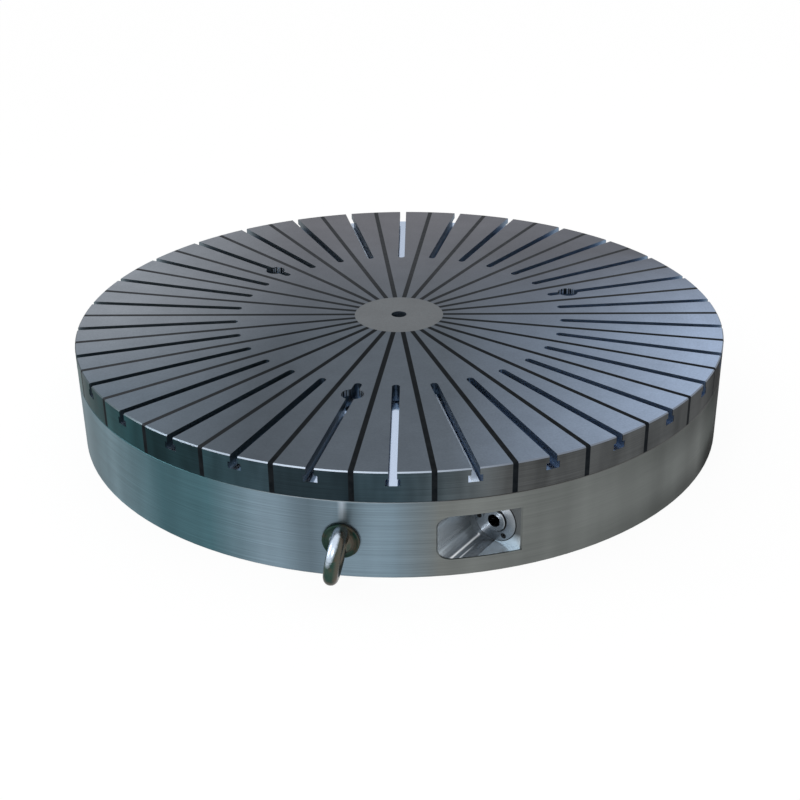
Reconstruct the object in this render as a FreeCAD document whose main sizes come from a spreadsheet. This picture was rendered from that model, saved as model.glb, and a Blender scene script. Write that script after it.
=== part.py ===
import FreeCAD, Part
import math
import os
import Sketcher

# Round permanent-magnet chuck with radial poles and radial T-slots.
# The frame stands on the centre of the base's bottom face, with +Z up and -Y at the key pocket's side.
# The magnet rotor turns by half a pole pitch. A screw in the base, turned with a key, drives it
# through a nut whose pin runs in a slot of the rotor.

# Driving dimensions, in millimetres and degrees.
SIZES = {
    # Outside
    "chuck_radius": 625,
    "base_height": 143,
    "plate_height": 54,
    "edge_chamfer": 2,
    # Pole plate
    "pole_count": 30,
    "strip_width": 8,
    "hub_radius": 87,
    "centre_bore_radius": 15,
    "slot_mouth_width": 14,
    "slot_head_width": 24,
    "slot_neck_depth": 12.5,
    "slot_head_height": 12,
    "slot_start_radius": 316,
    "mount_circle_radius": 360.5,
    "mount_count": 3,
    "mount_bore_radius": 13,
    "mount_counterbore_radius": 20,
    "mount_counterbore_depth": 28,
    # Base body
    "rim_wall": 79,
    "recess_floor_height": 98,
    "boss_radius": 150,
    "boss_bore_radius": 16,
    "column_radius": 30,
    "register_radius": 60,
    "register_depth": 8,
    "thrust_margin": 12,
    "thrust_width": 26,
    "thrust_groove_depth": 2,
    "seal_margin": 6,
    "seal_width": 6,
    "seal_depth": 4,
    # Clearances
    "fit_gap": 0.02,
    "running_gap": 0.05,
    "thread_gap": 0.15,
    "slide_gap": 0.2,
    "air_gap": 0.3,
    "overrun": 1,
    # Fasteners of the pole plate
    "rim_circle_inset": 33,
    "rim_screw_radius": 8,
    "rim_screw_length": 60,
    "rim_screw_reach": 22,
    "boss_circle_radius": 130,
    "boss_screw_radius": 4,
    "boss_screw_length": 60,
    "boss_screw_reach": 22,
    "hub_circle_radius": 38,
    "hub_screw_radius": 6,
    "hub_screw_length": 60,
    "hub_screw_reach": 20,
    "hub_screw_count": 4,
    "head_gap": 1,
    "tip_gap": 2,
    "dowel_radius": 8,
    "dowel_length": 45,
    "dowel_reach": 20,
    "socket_share": 0.83,
    # Lifting eyes
    "eye_angle": 262.3,
    "eye_height": 70,
    "eye_thread_radius": 12,
    "eye_thread_length": 40,
    "eye_collar_radius": 31,
    "eye_collar_height": 8,
    "eye_neck_radius": 19,
    "eye_neck_height": 4,
    "eye_neck_flare": 3,
    "eye_edge": 2,
    "eye_ring_radius": 35.5,
    "eye_bar_radius": 12,
    "eye_ring_sink": 12.5,
    "eye_tilt": 9.7,
    "eye_spot_depth": 1,
    "eye_spot_gap": 2,
    # Drive line and key pocket
    "drive_angle": 56.4,
    "drive_inset": 177,
    "drive_height": 72,
    "pocket_depth": 59.8,
    "pocket_half_height": 40.5,
    "pocket_left": 47.5,
    "pocket_right": 60,
    "pocket_corner_radius": 20,
    "pocket_run": 150,
    "flange_radius": 39,
    "flange_gap": 0.8,
    "flange_proud": 1,
    "flange_thickness": 10,
    "turned_edge": 1,
    "bush_radius": 26,
    "bush_length": 40,
    "mouth_radius": 22,
    "mouth_depth": 7,
    "seal_thickness": 5,
    "shaft_proud": 4,
    "journal_radius": 20,
    "key_width": 21,
    "key_depth": 30,
    "thrust_collar_radius": 25,
    "thrust_collar_length": 10,
    "washer_thickness": 5,
    "shank_radius": 18,
    "line_bore_radius": 19,
    "shank_end": 58,
    "tail_radius": 14,
    "tail_end": 92,
    "tail_edge": 2,
    "rear_bush_length": 32,
    "line_bore_end": 96,
    "flange_screw_circle": 30.4,
    "flange_screw_count": 3,
    "flange_screw_angle": 57.3,
    "flange_screw_radius": 2.5,
    "flange_screw_length": 14,
    "flange_head_radius": 4.2,
    "flange_head_height": 5,
    "flange_head_sink": 1.5,
    "flange_head_gap": 0.6,
    # Nut
    "nut_half_width": 42,
    "nut_half_length": 30,
    "nut_top_drop": 0.5,
    "nut_edge": 4,
    "trench_floor_height": 40,
    "pin_radius": 12,
    "pin_sleeve_radius": 16,
    "pin_height": 15,
    "pin_root": 2,
    # Rotor
    "rotor_lift": 2,
    "carrier_gap": 6,
    "carrier_thickness": 14,
    "rotor_bush_radius": 158,
    "bar_inner_radius": 165,
    "outer_band_width": 8,
    "magnet_width": 16,
    "column_window_gap": 3,
    "pin_slot_gap": 0.3,
    "pin_slot_spare": 5,
    "rotor_screw_inset": 45,
    "rotor_screw_radius": 4,
    "rotor_screw_length": 26,
    "rotor_head_radius": 7,
    "rotor_head_height": 6,
}

doc = FreeCAD.newDocument("magnetic_chuck")
sheet = doc.addObject("Spreadsheet::Sheet", "Dims")
for row, (size_name, size_value) in enumerate(SIZES.items(), start=1):
    sheet.set(f"A{row}", size_name)
    sheet.set(f"B{row}", str(size_value))
    sheet.setAlias(f"B{row}", size_name)
doc.recompute()

# Sizes that follow from the driving ones, as expressions.
PITCH = "(360/Dims.pole_count)"
HALF_PITCH = "(180/Dims.pole_count)"
TOP = "(Dims.base_height + Dims.plate_height)"
SLOT_DEPTH = "(Dims.slot_neck_depth + Dims.slot_head_height)"
ROTOR_BOTTOM = "(Dims.recess_floor_height + Dims.rotor_lift)"
BAR_BOTTOM = f"({ROTOR_BOTTOM} + Dims.carrier_thickness)"
BAR_TOP = "(Dims.base_height - Dims.air_gap)"
BEYOND = "(1.05*Dims.chuck_radius)"
RIM_CIRCLE = "(Dims.chuck_radius - Dims.rim_circle_inset)"
RECESS_RADIUS = "(Dims.chuck_radius - Dims.rim_wall)"
THRUST_OUTER = f"({RECESS_RADIUS} - Dims.thrust_margin)"
THRUST_INNER = f"({THRUST_OUTER} - Dims.thrust_width)"
SEAL_INNER = f"({RECESS_RADIUS} + Dims.seal_margin)"
SEAL_OUTER = f"({SEAL_INNER} + Dims.seal_width)"
CARRIER_RADIUS = f"({RECESS_RADIUS} - Dims.carrier_gap)"
BAR_OUTER = f"({CARRIER_RADIUS} - Dims.outer_band_width)"
ROTOR_SCREW_CIRCLE = f"({CARRIER_RADIUS} - Dims.rotor_screw_inset)"
# The drive line passes the axis at this distance, and its pocket starts where it crosses the rim.
DRIVE_OFFSET = "(Dims.chuck_radius - Dims.drive_inset)"
POCKET_FACE = f"(sqrt(Dims.chuck_radius^2 - {DRIVE_OFFSET}^2) - Dims.pocket_depth)"
# The rotor turns by half a pitch, and the nut's travel lies evenly about the tangent point.
NUT_TRAVEL = f"(2*{DRIVE_OFFSET}*tan({HALF_PITCH}/2))"
NUT_START = f"(-{NUT_TRAVEL}/2)"
NUT_TOP = "(Dims.recess_floor_height - Dims.nut_top_drop)"
NUT_BOTTOM = "(Dims.trench_floor_height + Dims.slide_gap)"
TRENCH_END = f"({NUT_TRAVEL}/2 + Dims.nut_half_length + Dims.slide_gap)"
PIN_SLOT_ANGLE = f"(Dims.drive_angle - 90 - {HALF_PITCH}/2)"
PIN_SLOT_RADIUS = f"({DRIVE_OFFSET}/cos({HALF_PITCH}/2))"
FLANGE_FACE = f"(-{POCKET_FACE} - Dims.flange_proud)"
FLANGE_BACK = f"({FLANGE_FACE} + Dims.flange_thickness)"
BUSH_END = f"({FLANGE_BACK} + Dims.bush_length)"
COLLAR_START = f"({BUSH_END} + Dims.slide_gap)"
COLLAR_END = f"({COLLAR_START} + Dims.thrust_collar_length)"
WASHER_START = f"({COLLAR_END} + Dims.slide_gap)"
WASHER_END = f"({WASHER_START} + Dims.washer_thickness)"

# Angles of the first sector of each pole group, and of the mounting holes.
NORTH_START = HALF_PITCH
SOUTH_START = f"({HALF_PITCH} + {PITCH})"
GROUP_COUNT = "(Dims.pole_count/2)"
SECOND_DOWEL_STEP = 7

# Edge break of turned pieces, and how far a cutter runs past a face.
EDGE = "Dims.turned_edge"
PAST = "Dims.overrun"


def turned(angle, x="0", y="0", z="0"):
    """Placement at a point, turned about Z."""
    return f"placement(vector({x}; {y}; {z}); rotation({angle}; 0; 0))"


def polar(radius, angle, z):
    """Placement on a circle about Z."""
    return turned(angle, f"{radius}*cos({angle})", f"{radius}*sin({angle})", z)


def drive_place(along, side="0", height="Dims.drive_height"):
    """Placement in the drive line's frame: Z along the screw, X level and outwards, Y down."""
    angle = "Dims.drive_angle"
    offset = f"({DRIVE_OFFSET} + ({side}))"
    x = f"({along})*cos({angle}) + {offset}*sin({angle})"
    y = f"({along})*sin({angle}) - {offset}*cos({angle})"
    return f"placement(vector({x}; {y}; {height}); rotation({angle} - 90; 0; -90))"


def new_body(name, place=None):
    body = doc.addObject("PartDesign::Body", name)
    body.Label = name
    body.AllowCompound = True
    if place:
        body.setExpression("Placement", place)
    return body


def origin_item(body, role):
    return [item for item in body.Origin.OriginFeatures if item.Role == role][0]


def new_sketch(body, name, plane, offset=None):
    sketch = body.newObject("Sketcher::SketchObject", name)
    sketch.AttachmentSupport = [(origin_item(body, plane), "")]
    sketch.MapMode = "FlatFace"
    if offset:
        sketch.setExpression("AttachmentOffset", offset)
    return sketch


def bind(sketch, kind, geometry, point, expression):
    """Hold one coordinate of a point at an expression, measured from the sketch's origin."""
    value = sketch.evalExpression(expression)
    index = sketch.addConstraint(Sketcher.Constraint(kind, -1, 1, geometry, point, value))
    sketch.setExpression(f"Constraints[{index}]", expression)


def polygon(sketch, corners):
    """Closed outline whose corners are pairs of expressions."""
    points = [FreeCAD.Vector(*[sketch.evalExpression(value) for value in corner], 0) for corner in corners]
    count = len(points)
    lines = [Part.LineSegment(points[i], points[(i + 1) % count]) for i in range(count)]
    sketch.addGeometry(lines, False)
    for i in range(count):
        sketch.addConstraint(Sketcher.Constraint("Coincident", i, 2, (i + 1) % count, 1))
    for i, (x, y) in enumerate(corners):
        bind(sketch, "DistanceX", i, 1, x)
        bind(sketch, "DistanceY", i, 1, y)


def round_ended_slot(sketch, centre, end, half_width):
    """Slot along X with a round end about its centre and a square end."""
    start = sketch.evalExpression(centre)
    stop = sketch.evalExpression(end)
    half = sketch.evalExpression(half_width)
    vector = FreeCAD.Vector
    circle = Part.Circle(vector(start, 0, 0), vector(0, 0, 1), half)
    sketch.addGeometry(Part.ArcOfCircle(circle, math.pi / 2, 3 * math.pi / 2), False)
    sketch.addGeometry(Part.LineSegment(vector(start, half, 0), vector(stop, half, 0)), False)
    sketch.addGeometry(Part.LineSegment(vector(stop, half, 0), vector(stop, -half, 0)), False)
    sketch.addGeometry(Part.LineSegment(vector(stop, -half, 0), vector(start, -half, 0)), False)
    sketch.addConstraint(Sketcher.Constraint("Coincident", 0, 1, 1, 1))
    sketch.addConstraint(Sketcher.Constraint("Coincident", 1, 2, 2, 1))
    sketch.addConstraint(Sketcher.Constraint("Coincident", 2, 2, 3, 1))
    sketch.addConstraint(Sketcher.Constraint("Coincident", 3, 2, 0, 2))
    sketch.addConstraint(Sketcher.Constraint("Horizontal", 1))
    sketch.addConstraint(Sketcher.Constraint("Vertical", 2))
    sketch.addConstraint(Sketcher.Constraint("Horizontal", 3))
    bind(sketch, "DistanceX", 0, 3, centre)
    sketch.addConstraint(Sketcher.Constraint("PointOnObject", 0, 3, -1))
    bind(sketch, "DistanceX", 0, 1, centre)
    bind(sketch, "DistanceY", 0, 1, half_width)
    bind(sketch, "DistanceX", 0, 2, centre)
    bind(sketch, "DistanceX", 1, 2, end)


def revolve(body, name, corners):
    """Turned solid: an outline of radius and height, turned about Z."""
    sketch = new_sketch(body, name + "_outline", "XZ_Plane")
    polygon(sketch, corners)
    feature = body.newObject("PartDesign::Revolution", name)
    feature.Profile = sketch
    feature.ReferenceAxis = (origin_item(body, "Z_Axis"), [""])
    feature.Angle = 360
    body.Tip = feature
    doc.recompute()
    return feature


def ring_corners(inner, outer, bottom, top):
    return [(inner, bottom), (outer, bottom), (outer, top), (inner, top)]


def primitive(body, name, kind, place, **sizes):
    """Additive or subtractive primitive whose sizes and place are expressions."""
    feature = body.newObject("PartDesign::" + kind, name)
    for size_key, expression in sizes.items():
        feature.setExpression(size_key, expression)
    feature.setExpression("Placement", place)
    body.Tip = feature
    doc.recompute()
    return feature


def pattern(body, name, originals, count):
    feature = body.newObject("PartDesign::PolarPattern", name)
    feature.Originals = originals
    feature.Axis = (origin_item(body, "Z_Axis"), [""])
    feature.Angle = 360
    feature.setExpression("Occurrences", count)
    body.Tip = feature
    doc.recompute()
    return feature


def pocket(body, name, sketch, depth=None):
    """Pocket below a sketch, or through everything on both sides."""
    feature = body.newObject("PartDesign::Pocket", name)
    feature.Profile = sketch
    if depth:
        feature.setExpression("Length", depth)
    else:
        feature.Type = "ThroughAll"
        feature.Midplane = True
    body.Tip = feature
    doc.recompute()
    return feature


def radial_split(body, name, count, half_width, angle):
    """Cut the wedges that lie between radial bars of constant width, so that only the bars stay."""
    sketch = new_sketch(body, name + "_outline", "XY_Plane", turned(angle))
    rise = f"({BEYOND}*tan({HALF_PITCH}) - ({half_width})/cos({HALF_PITCH}))"
    polygon(sketch, [(f"({half_width})/sin({HALF_PITCH})", "0"), (BEYOND, f"-{rise}"), (BEYOND, rise)])
    return pattern(body, name + "_ring", [pocket(body, name, sketch)], count)


def plate_outline(inner):
    """Section of the pole plate from a radius to the chamfered rim."""
    return [
        (inner, "Dims.base_height"),
        ("Dims.chuck_radius", "Dims.base_height"),
        ("Dims.chuck_radius", f"{TOP} - Dims.edge_chamfer"),
        ("Dims.chuck_radius - Dims.edge_chamfer", TOP),
        (inner, TOP),
    ]


def screw_set(name, circle, angle, count, radius, length, reach, head_radius, head_height):
    """Cap screws from below that reach a stated height into the pole plate."""
    body = new_body(name)
    seat = f"(Dims.base_height + {reach} - {length})"
    shank = primitive(body, name + "_shank", "AdditiveCylinder", polar(circle, angle, seat),
                      Radius=radius, Height=length)
    head = primitive(body, name + "_head", "AdditiveCylinder",
                     polar(circle, angle, f"{seat} - {head_height}"),
                     Radius=head_radius, Height=head_height)
    pattern(body, name + "_circle", [shank, head], count)
    return body


def screw_holes(body, name, circle, angle, count, radius, seat, head_radius):
    """Counterbored holes through the base, one for each cap screw from below."""
    hole = primitive(body, name + "_hole", "SubtractiveCylinder", polar(circle, angle, f"-{PAST}"),
                     Radius=f"{radius} + Dims.thread_gap", Height=f"Dims.base_height + 2*{PAST}")
    bore = primitive(body, name + "_bore", "SubtractiveCylinder", polar(circle, angle, f"-{PAST}"),
                     Radius=f"{head_radius} + Dims.head_gap", Height=f"{seat} + {PAST}")
    return pattern(body, name + "_circle", [hole, bore], count)


def tapped_holes(body, name, circle, angle, count, radius, reach):
    """Blind holes in the underside of the pole plate."""
    hole = primitive(body, name, "SubtractiveCylinder", polar(circle, angle, f"Dims.base_height - {PAST}"),
                     Radius=f"{radius} + Dims.thread_gap", Height=f"{reach} + Dims.tip_gap + {PAST}")
    return pattern(body, name + "_circle", [hole], count)


# Cap screws: a head is 1.5 diameters across and one diameter high.
RIM_HEAD = "(1.5*Dims.rim_screw_radius)"
BOSS_HEAD = "(1.5*Dims.boss_screw_radius)"
HUB_HEAD = "(1.5*Dims.hub_screw_radius)"
RIM_SEAT = "(Dims.base_height + Dims.rim_screw_reach - Dims.rim_screw_length)"
BOSS_SEAT = "(Dims.base_height + Dims.boss_screw_reach - Dims.boss_screw_length)"
HUB_SEAT = "(Dims.base_height + Dims.hub_screw_reach - Dims.hub_screw_length)"
DOWEL_BOTTOM = "(Dims.base_height + Dims.dowel_reach - Dims.dowel_length)"


def base_body():
    """Turned steel base: rotor recess, centre boss, columns under the mounting holes, drive line."""
    body = new_body("base_body")
    rim = "Dims.chuck_radius"
    edge = "Dims.edge_chamfer"
    floor = "Dims.recess_floor_height"
    groove = f"{floor} - Dims.thrust_groove_depth"
    seal = "Dims.base_height - Dims.seal_depth"
    revolve(body, "base_turning", [
        ("Dims.boss_bore_radius", "Dims.register_depth"),
        ("Dims.register_radius", "Dims.register_depth"),
        ("Dims.register_radius", "0"),
        (f"{rim} - {edge}", "0"),
        (rim, edge),
        (rim, f"Dims.base_height - {edge}"),
        (f"{rim} - {edge}", "Dims.base_height"),
        (f"{SEAL_OUTER} + Dims.fit_gap", "Dims.base_height"),
        (f"{SEAL_OUTER} + Dims.fit_gap", seal),
        (f"{SEAL_INNER} - Dims.fit_gap", seal),
        (f"{SEAL_INNER} - Dims.fit_gap", "Dims.base_height"),
        (RECESS_RADIUS, "Dims.base_height"),
        (RECESS_RADIUS, floor),
        (f"{THRUST_OUTER} + Dims.fit_gap", floor),
        (f"{THRUST_OUTER} + Dims.fit_gap", groove),
        (f"{THRUST_INNER} - Dims.fit_gap", groove),
        (f"{THRUST_INNER} - Dims.fit_gap", floor),
        ("Dims.boss_radius", floor),
        ("Dims.boss_radius", "Dims.base_height"),
        ("Dims.boss_bore_radius", "Dims.base_height"),
    ])
    column = primitive(body, "column", "AdditiveCylinder",
                       polar("Dims.mount_circle_radius", SOUTH_START, f"{floor} - {PAST}"),
                       Radius="Dims.column_radius", Height=f"Dims.base_height - {floor} + {PAST}")
    bore = primitive(body, "mount_bore", "SubtractiveCylinder",
                     polar("Dims.mount_circle_radius", SOUTH_START, f"-{PAST}"),
                     Radius="Dims.mount_bore_radius", Height=f"Dims.base_height + 2*{PAST}")
    pattern(body, "mount_circle", [column, bore], "Dims.mount_count")
    screw_holes(body, "rim_screw", RIM_CIRCLE, NORTH_START, GROUP_COUNT,
                "Dims.rim_screw_radius", RIM_SEAT, RIM_HEAD)
    screw_holes(body, "boss_screw", "Dims.boss_circle_radius", SOUTH_START, GROUP_COUNT,
                "Dims.boss_screw_radius", BOSS_SEAT, BOSS_HEAD)
    screw_holes(body, "hub_screw", "Dims.hub_circle_radius", "0", "Dims.hub_screw_count",
                "Dims.hub_screw_radius", HUB_SEAT, HUB_HEAD)
    for index in range(2):
        primitive(body, f"dowel_hole_{index}", "SubtractiveCylinder",
                  polar(RIM_CIRCLE, dowel_angle(index), DOWEL_BOTTOM),
                  Radius="Dims.dowel_radius + Dims.fit_gap", Height=f"Dims.dowel_length + {PAST}")
    eye_seats(body)
    drive_cuts(body)
    return body


def dowel_angle(index):
    """Dowels sit in the south poles next to the first mounting hole and seven poles on."""
    return f"({SOUTH_START} + 2*{PITCH}*{1 + SECOND_DOWEL_STEP * index})"


def eye_seats(body):
    """Threaded holes and flat seats of the two lifting eyes."""
    for index in range(2):
        angle = f"(Dims.eye_angle + {180 * index})"
        seat = "(Dims.chuck_radius - Dims.eye_spot_depth)"
        start = f"({seat} - Dims.eye_thread_length - Dims.tip_gap)"
        for name, radius, inner in (("thread", "Dims.eye_thread_radius + Dims.thread_gap", start),
                                    ("spot", "Dims.eye_collar_radius + Dims.eye_spot_gap", seat)):
            place = (f"placement(vector({inner}*cos({angle}); {inner}*sin({angle}); Dims.eye_height);"
                     f" rotation({angle}; 90; 0))")
            primitive(body, f"eye_{name}_{index}", "SubtractiveCylinder", place,
                      Radius=radius, Height=f"{BEYOND} - {inner}")


def drive_cuts(body):
    """Key pocket, bush seats, line bore and the trench of the nut."""
    key_pocket(body)
    for name, radius, start, end in (
            ("flange_seat", "Dims.flange_radius + Dims.flange_gap", f"-{POCKET_FACE} - {PAST}", FLANGE_BACK),
            ("bush_seat", "Dims.bush_radius + Dims.fit_gap", f"-{POCKET_FACE}", WASHER_END),
            ("line_bore", "Dims.line_bore_radius", f"-{POCKET_FACE}", "Dims.line_bore_end")):
        primitive(body, name, "SubtractiveCylinder", drive_place(start),
                  Radius=radius, Height=f"({end}) - ({start})")
    for index in range(SIZES["flange_screw_count"]):
        primitive(body, f"flange_tap_{index}", "SubtractiveCylinder",
                  flange_screw_place(FLANGE_BACK, f"{index}*360/Dims.flange_screw_count"),
                  Radius="Dims.flange_screw_radius + Dims.thread_gap", Height="Dims.flange_screw_length")
    half_width = "(Dims.nut_half_width + Dims.slide_gap)"
    primitive(body, "nut_trench", "SubtractiveBox",
              drive_place(f"-{TRENCH_END}", f"-{half_width}", f"Dims.recess_floor_height + {PAST}"),
              Length=f"2*{half_width}", Height=f"2*{TRENCH_END}",
              Width=f"Dims.recess_floor_height + {PAST} - Dims.trench_floor_height")


def key_pocket(body):
    """Pocket along the drive line: square on the right, with the cutter's round corners on the left."""
    half = "Dims.pocket_half_height"
    corner = "Dims.pocket_corner_radius"
    outer_end = f"(-{POCKET_FACE} - Dims.pocket_run)"
    centre = f"({corner} - Dims.pocket_left)"
    for name, side, width, rise in (
            ("pocket_middle", centre, f"Dims.pocket_right - {centre}", half),
            ("pocket_side", "-Dims.pocket_left", corner, f"({half} - {corner})")):
        primitive(body, name, "SubtractiveBox", drive_place(outer_end, side, f"Dims.drive_height + {rise}"),
                  Length=width, Width=f"2*{rise}", Height="Dims.pocket_run")
    for name, sign in (("pocket_corner_upper", "+"), ("pocket_corner_lower", "-")):
        primitive(body, name, "SubtractiveCylinder",
                  drive_place(outer_end, centre, f"Dims.drive_height {sign} ({half} - {corner})"),
                  Radius=corner, Height="Dims.pocket_run")


def flange_screw_place(along, turn):
    """Place on the flange's screw circle, in the chuck's frame."""
    angle = f"(Dims.flange_screw_angle + {turn})"
    side = f"Dims.flange_screw_circle*cos({angle})"
    return drive_place(along, side, f"Dims.drive_height - Dims.flange_screw_circle*sin({angle})")


def pole_group(name, start):
    """Every second pole sector, each with its T-slot open at the rim."""
    body = new_body(name)
    revolve(body, name + "_turning", plate_outline("Dims.hub_radius"))
    gap = new_sketch(body, name + "_gap_outline", "XY_Plane", turned(f"{start} + {PITCH}"))
    half = "(Dims.strip_width/2)"
    rise = f"({BEYOND}*tan({HALF_PITCH}) + {half}/cos({HALF_PITCH}))"
    polygon(gap, [(f"-{half}/sin({HALF_PITCH})", "0"), (BEYOND, f"-{rise}"), (BEYOND, rise)])
    pattern(body, name + "_gaps", [pocket(body, name + "_gap", gap)], GROUP_COUNT)
    centre = "(Dims.slot_start_radius + Dims.slot_mouth_width/2)"
    mouth = new_sketch(body, name + "_mouth_outline", "XY_Plane", turned(start, z=TOP))
    round_ended_slot(mouth, centre, BEYOND, "Dims.slot_mouth_width/2")
    mouth_cut = pocket(body, name + "_mouth", mouth, SLOT_DEPTH)
    head = new_sketch(body, name + "_head_outline", "XY_Plane",
                      turned(start, z=f"{TOP} - Dims.slot_neck_depth"))
    round_ended_slot(head, centre, BEYOND, "Dims.slot_head_width/2")
    head_cut = pocket(body, name + "_head", head, "Dims.slot_head_height")
    pattern(body, name + "_t_slots", [mouth_cut, head_cut], GROUP_COUNT)
    return body


def north_poles():
    body = pole_group("north_poles", NORTH_START)
    tapped_holes(body, "rim_tap", RIM_CIRCLE, NORTH_START, GROUP_COUNT,
                 "Dims.rim_screw_radius", "Dims.rim_screw_reach")
    return body


def south_poles():
    """Three of these sectors rest on the base's columns and hold the mounting holes."""
    body = pole_group("south_poles", SOUTH_START)
    tapped_holes(body, "boss_tap", "Dims.boss_circle_radius", SOUTH_START, GROUP_COUNT,
                 "Dims.boss_screw_radius", "Dims.boss_screw_reach")
    bore = primitive(body, "plate_bore", "SubtractiveCylinder",
                     polar("Dims.mount_circle_radius", SOUTH_START, f"Dims.base_height - {PAST}"),
                     Radius="Dims.mount_bore_radius", Height=f"Dims.plate_height + 2*{PAST}")
    sink = primitive(body, "plate_counterbore", "SubtractiveCylinder",
                     polar("Dims.mount_circle_radius", SOUTH_START, f"{TOP} - Dims.mount_counterbore_depth"),
                     Radius="Dims.mount_counterbore_radius", Height=f"Dims.mount_counterbore_depth + {PAST}")
    pattern(body, "plate_mounts", [bore, sink], "Dims.mount_count")
    for index in range(2):
        primitive(body, f"dowel_socket_{index}", "SubtractiveCylinder",
                  polar(RIM_CIRCLE, dowel_angle(index), f"Dims.base_height - {PAST}"),
                  Radius="Dims.dowel_radius + Dims.fit_gap", Height=f"Dims.dowel_reach + 2*{PAST}")
    return body


def separator_strips():
    """Brass strips between the poles, as deep as the plate."""
    body = new_body("separator_strips")
    revolve(body, "strip_turning", plate_outline("Dims.hub_radius"))
    radial_split(body, "strip_gap", "Dims.pole_count", "Dims.strip_width/2", HALF_PITCH)
    return body


def hub_disc():
    """Plain centre of the pole plate with the locating bore."""
    body = new_body("hub_disc")
    revolve(body, "hub_turning", ring_corners("Dims.centre_bore_radius", "Dims.hub_radius - Dims.fit_gap",
                                              "Dims.base_height", TOP))
    tapped_holes(body, "hub_tap", "Dims.hub_circle_radius", "0", "Dims.hub_screw_count",
                 "Dims.hub_screw_radius", "Dims.hub_screw_reach")
    return body


def ring(name, inner, outer, bottom, top):
    body = new_body(name)
    revolve(body, name + "_turning", ring_corners(inner, outer, bottom, top))
    return body


def plate_dowels():
    body = new_body("plate_dowels")
    for index in range(2):
        primitive(body, f"dowel_{index}", "AdditiveCylinder",
                  polar(RIM_CIRCLE, dowel_angle(index), DOWEL_BOTTOM),
                  Radius="Dims.dowel_radius", Height="Dims.dowel_length")
    return body


def socket_radius(screw_radius):
    """Corner radius of a cap screw's hexagon socket."""
    return f"(Dims.socket_share*{screw_radius}/cos(30))"


def hub_screws():
    """Cap screws with hexagon sockets that hold the hub disc."""
    body = screw_set("hub_screws", "Dims.hub_circle_radius", "0", "Dims.hub_screw_count",
                     "Dims.hub_screw_radius", "Dims.hub_screw_length", "Dims.hub_screw_reach",
                     HUB_HEAD, "2*Dims.hub_screw_radius")
    socket = primitive(body, "hub_socket", "SubtractivePrism",
                       polar("Dims.hub_circle_radius", "0", f"{HUB_SEAT} - 2*Dims.hub_screw_radius"),
                       Circumradius=socket_radius("Dims.hub_screw_radius"), Height="Dims.hub_screw_radius")
    pattern(body, "hub_sockets", [socket], "Dims.hub_screw_count")
    return body


def eye_bolts():
    """Two lifting eyes, one in each side of the base: shank, collar, neck and ring."""
    place = "placement(vector(0; 0; Dims.eye_height); rotation(Dims.eye_angle; 90; 0))"
    body = new_body("eye_bolts", place)
    seat = "(Dims.chuck_radius - Dims.eye_spot_depth)"
    tip = f"({seat} - Dims.eye_thread_length)"
    edge = "Dims.eye_edge"
    collar_top = f"({seat} + Dims.eye_collar_height)"
    neck_top = f"({collar_top} + Dims.eye_neck_height)"
    collar = "Dims.eye_collar_radius"
    thread = "Dims.eye_thread_radius"
    ring_centre = f"({neck_top} + Dims.eye_ring_radius + Dims.eye_bar_radius - Dims.eye_ring_sink)"
    for side in (1, -1):
        revolve(body, f"eye_turning_{side + 1}", [
            ("0", f"{side}*{tip}"),
            (f"{thread} - {edge}", f"{side}*{tip}"),
            (thread, f"{side}*({tip} + {edge})"),
            (thread, f"{side}*{seat}"),
            (f"{collar} - {edge}", f"{side}*{seat}"),
            (collar, f"{side}*({seat} + {edge})"),
            (collar, f"{side}*({collar_top} - {edge})"),
            (f"{collar} - {edge}", f"{side}*{collar_top}"),
            ("Dims.eye_neck_radius + Dims.eye_neck_flare", f"{side}*{collar_top}"),
            ("Dims.eye_neck_radius", f"{side}*{neck_top}"),
            ("0", f"{side}*{neck_top}"),
        ])
        primitive(body, f"eye_ring_{side + 1}", "AdditiveTorus",
                  f"placement(vector(0; 0; {side}*{ring_centre}); rotation({-side}*Dims.eye_tilt; 0; 90))",
                  Radius1="Dims.eye_ring_radius", Radius2="Dims.eye_bar_radius")
    return body


def rotor_window(body, name, bottom, top):
    """Arc windows that let the rotor swing round the base's columns."""
    reach = "(Dims.column_radius + Dims.column_window_gap)"
    column = SOUTH_START
    height = f"({top}) - ({bottom}) + 2*{PAST}"
    inner = f"Dims.mount_circle_radius - {reach}"
    outer = f"Dims.mount_circle_radius + {reach}"
    for index in range(SIZES["mount_count"]):
        turn = f"{column} - {HALF_PITCH} + {index}*360/Dims.mount_count"
        swept = new_sketch(body, f"{name}_outline_{index}", "XZ_Plane",
                           f"placement(vector(0; 0; 0); rotation(0; {turn}; 0))")
        polygon(swept, ring_corners(inner, outer, f"{bottom} - {PAST}", f"{top} + {PAST}"))
        sweep = body.newObject("PartDesign::Groove", f"{name}_{index}")
        sweep.Profile = swept
        sweep.ReferenceAxis = (origin_item(body, "Z_Axis"), [""])
        sweep.setExpression("Angle", HALF_PITCH)
        body.Tip = sweep
        doc.recompute()
        for end in range(2):
            end_angle = f"({turn} + {end}*{HALF_PITCH})"
            primitive(body, f"{name}_end_{index}_{end}", "SubtractiveCylinder",
                      polar("Dims.mount_circle_radius", end_angle, f"{bottom} - {PAST}"),
                      Radius=reach, Height=height)


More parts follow.
